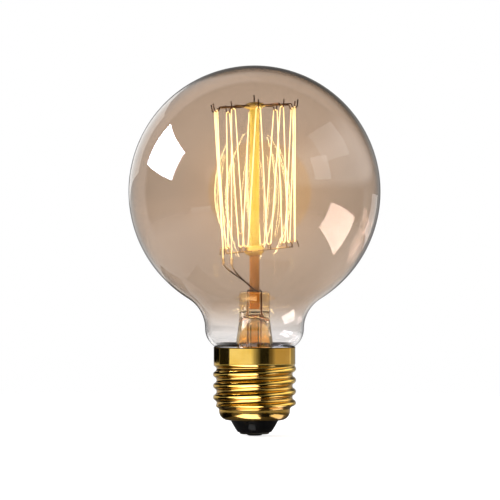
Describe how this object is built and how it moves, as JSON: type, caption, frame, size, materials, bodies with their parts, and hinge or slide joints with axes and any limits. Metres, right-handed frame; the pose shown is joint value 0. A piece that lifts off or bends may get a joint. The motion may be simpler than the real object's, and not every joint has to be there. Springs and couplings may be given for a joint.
{
  "type": "light bulb",
  "caption": "Globe lamp of smoke-amber glass with a glowing squirrel-cage filament on a glass stem and a brass screw cap that fits a standard large holder.",
  "frame": {"origin": "tip of the centre contact, on the lamp's axis", "axes": "+Z along the lamp's axis from the cap up to the crown of the globe, -Y towards the viewer"},
  "size_m": [0.08, 0.08, 0.1175],
  "materials": {
    "envelope_glass": "thin smoke-amber blown glass, polished",
    "stem_glass": "clear drawn glass with a warm cast",
    "rod_glass": "amber drawn glass rod",
    "button_glass": "amber glass beads melted round the hooks",
    "hook_wire": "dark drawn molybdenum wire",
    "filament": "fine wound filament, glowing warm white",
    "lead_wire": "dark nickel-plated wire with crimped ends",
    "seal_wire": "copper-coated sealing wire in the glass",
    "cap_lead": "bare copper wire",
    "cement": "fine-grained basing cement",
    "cap_brass": "thin rolled brass, polished, warm",
    "insulator": "black moulded glass, glossy",
    "contact": "stamped brass disc, dull",
    "solder": "soft solder, dull bright"
  },
  "bodies": {
    "root": {"glass_envelope": "envelope_glass", "stem_flare": "stem_glass", "exhaust_tube": "stem_glass", "arbor_rod": "rod_glass", "upper_button": "button_glass", "lower_button": "button_glass", "top_wire": "hook_wire", "upper_hook_01": "hook_wire", "upper_hook_02": "hook_wire", "upper_hook_03": "hook_wire", "upper_hook_04": "hook_wire", "upper_hook_05": "hook_wire", "upper_hook_06": "hook_wire", "upper_hook_07": "hook_wire", "upper_hook_08": "hook_wire", "upper_hook_09": "hook_wire", "upper_hook_10": "hook_wire", "lower_hook_01": "hook_wire", "lower_hook_02": "hook_wire", "lower_hook_03": "hook_wire", "lower_hook_04": "hook_wire", "lower_hook_05": "hook_wire", "lower_hook_06": "hook_wire", "lower_hook_07": "hook_wire", "lower_hook_08": "hook_wire", "lower_hook_09": "hook_wire", "filament": "filament", "lead_wire_left": "lead_wire", "lead_wire_right": "lead_wire", "lead_seal_left": "seal_wire", "lead_seal_right": "seal_wire", "cap_lead_side": "cap_lead", "cap_lead_centre": "cap_lead", "basing_cement": "cement", "cap_shell": "cap_brass", "cap_insulator": "insulator", "contact_plate": "contact", "centre_solder": "solder", "side_solder": "solder"}
  },
  "joints": []
}
